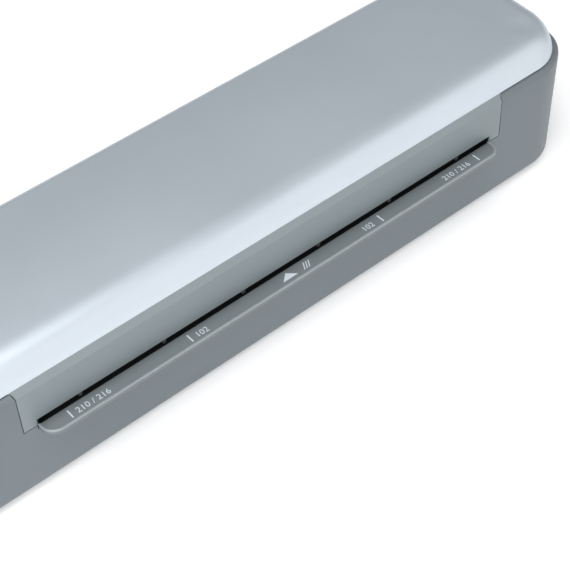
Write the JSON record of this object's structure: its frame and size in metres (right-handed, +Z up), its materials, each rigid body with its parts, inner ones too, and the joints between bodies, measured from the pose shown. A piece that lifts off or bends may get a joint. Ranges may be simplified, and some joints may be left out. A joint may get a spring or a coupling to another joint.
{
  "type": "pouch laminator",
  "caption": "Desktop pouch laminator with a wide entry slot, feed shelf, crowned silver cover, heated rollers, exit rollers, gear drive and release lever.",
  "frame": {"origin": "centre of the footprint of the whole machine, on the table", "axes": "+X along the entry slot, +Y from the entry slot to the exit slot, +Z up; the front faces -Y"},
  "size_m": [0.352, 0.09, 0.0718],
  "materials": {
    "case_plastic": "fine satin moulded plastic, warm mid grey",
    "cover_paint": "satin silver metallic paint on moulded plastic",
    "fascia_plastic": "satin grey moulded plastic",
    "shelf_plastic": "satin grey moulded plastic with light printed size marks",
    "dark_plastic": "fine textured dark grey plastic",
    "black_plastic": "satin black plastic",
    "steel": "zinc-plated sheet steel",
    "screw_steel": "plated screw heads",
    "roller_steel": "ground steel shaft",
    "spring_steel": "bright spring wire",
    "motor_steel": "grey plated motor can",
    "aluminium": "extruded aluminium",
    "heater_film": "amber polyimide heater film",
    "bush_plastic": "ivory bearing plastic",
    "ceramic_body": "glazed ceramic",
    "brass_part": "machined brass",
    "circuit_board": "green circuit board",
    "component_plastic": "moulded component bodies",
    "terminal_plastic": "blue terminal block",
    "wire_pvc": "wire insulation",
    "gland_rubber": "soft black rubber",
    "rubber": "matte rubber",
    "silicone": "red-brown silicone rubber",
    "exit_rubber": "dark grey rubber",
    "gear_plastic": "natural acetal",
    "lens": "translucent green lens"
  },
  "bodies": {
    "chassis": {"lower_case": "case_plastic", "top_cover": "cover_paint", "front_fascia": "fascia_plastic", "feed_shelf": "shelf_plastic", "upper_entry_guide": "dark_plastic", "exit_bezel": "dark_plastic", "exit_guide": "dark_plastic", "mid_guide": "steel", "left_side_frame": "steel", "right_side_frame": "steel", "tie_bars": "steel", "frame_screws": "screw_steel", "lower_heater_shoe": "aluminium", "lower_heater_strip": "heater_film", "lower_roller_bushings": "bush_plastic", "thermostat": "ceramic_body", "thermal_fuse": "brass_part", "drive_motor": "motor_steel", "motor_standoffs": "brass_part", "motor_screws": "screw_steel", "idler_stud": "steel", "pressure_springs": "spring_steel", "control_board": "circuit_board", "board_components": "component_plastic", "terminal_block": "terminal_plastic", "internal_wiring": "wire_pvc", "cord_gland": "gland_rubber", "control_panel": "dark_plastic", "switch_housing": "black_plastic", "indicator_board": "circuit_board", "led_lenses": "lens", "rubber_feet": "rubber", "case_screws": "screw_steel"},
    "lower_hot_roller": {"lower_hot_sleeve": "silicone", "lower_hot_shaft": "roller_steel", "lower_hot_gear": "gear_plastic"},
    "upper_hot_roller": {"upper_hot_sleeve": "silicone", "upper_hot_shaft": "roller_steel", "upper_hot_gear": "gear_plastic"},
    "lower_exit_roller": {"lower_exit_sleeve": "exit_rubber", "lower_exit_shaft": "roller_steel", "lower_exit_gear": "gear_plastic"},
    "upper_exit_roller": {"upper_exit_sleeve": "exit_rubber", "upper_exit_shaft": "roller_steel", "upper_exit_gear": "gear_plastic"},
    "idler": {"idler_gear": "gear_plastic"},
    "motor_shaft": {"motor_pinion": "brass_part"},
    "upper_carriage": {"carriage_plates": "steel", "upper_heater_shoe": "aluminium", "upper_heater_strip": "heater_film", "upper_roller_bushings": "bush_plastic"},
    "release": {"release_shaft": "roller_steel", "release_cams": "gear_plastic", "release_lever": "black_plastic"},
    "rocker": {"power_rocker": "black_plastic"}
  },
  "joints": [
    {"name": "lower_hot_spin", "type": "hinge", "parent": "chassis", "child": "lower_hot_roller", "pos_m": [0, -0.006, 0.0295], "axis": [1, 0, 0], "continuous": true},
    {"name": "carriage_lift", "type": "slide", "parent": "chassis", "child": "upper_carriage", "axis": [0, 0, 1], "range_m": [0, 0.002], "stiffness_N_per_m": 600, "springref_m": -0.004, "deforming": ["pressure_springs"]},
    {"name": "upper_hot_spin", "type": "hinge", "parent": "upper_carriage", "child": "upper_hot_roller", "pos_m": [0, -0.006, 0.0495], "axis": [1, 0, 0], "continuous": true},
    {"name": "lower_exit_spin", "type": "hinge", "parent": "chassis", "child": "lower_exit_roller", "pos_m": [0, 0.026, 0.0315], "axis": [1, 0, 0], "continuous": true},
    {"name": "upper_exit_spin", "type": "hinge", "parent": "upper_carriage", "child": "upper_exit_roller", "pos_m": [0, 0.026, 0.0475], "axis": [1, 0, 0], "continuous": true},
    {"name": "idler_spin", "type": "hinge", "parent": "chassis", "child": "idler", "pos_m": [0, 0.01141, 0.02493], "axis": [1, 0, 0], "continuous": true},
    {"name": "motor_spin", "type": "hinge", "parent": "chassis", "child": "motor_shaft", "pos_m": [0, 0.01141, 0.03893], "axis": [1, 0, 0], "continuous": true},
    {"name": "release_turn", "type": "hinge", "parent": "chassis", "child": "release", "pos_m": [-0.146, 0.01, 0.0585], "axis": [1, 0, 0], "range_deg": [0, 40]},
    {"name": "power_switch", "type": "hinge", "parent": "chassis", "child": "rocker", "pos_m": [-0.1388, 0.022, 0.066], "axis": [1, 0, 0], "range_deg": [-16, 0]}
  ],
  "couplings": [
    {"joint": "upper_hot_spin", "follows": "lower_hot_spin", "ratio": -1},
    {"joint": "lower_exit_spin", "follows": "lower_hot_spin", "ratio": 1.25},
    {"joint": "upper_exit_spin", "follows": "lower_hot_spin", "ratio": -1.25},
    {"joint": "idler_spin", "follows": "lower_hot_spin", "ratio": -1.25},
    {"joint": "motor_spin", "follows": "lower_hot_spin", "ratio": 1.6667},
    {"joint": "release_turn", "follows": "carriage_lift", "rad_per_m": 349.07}
  ]
}
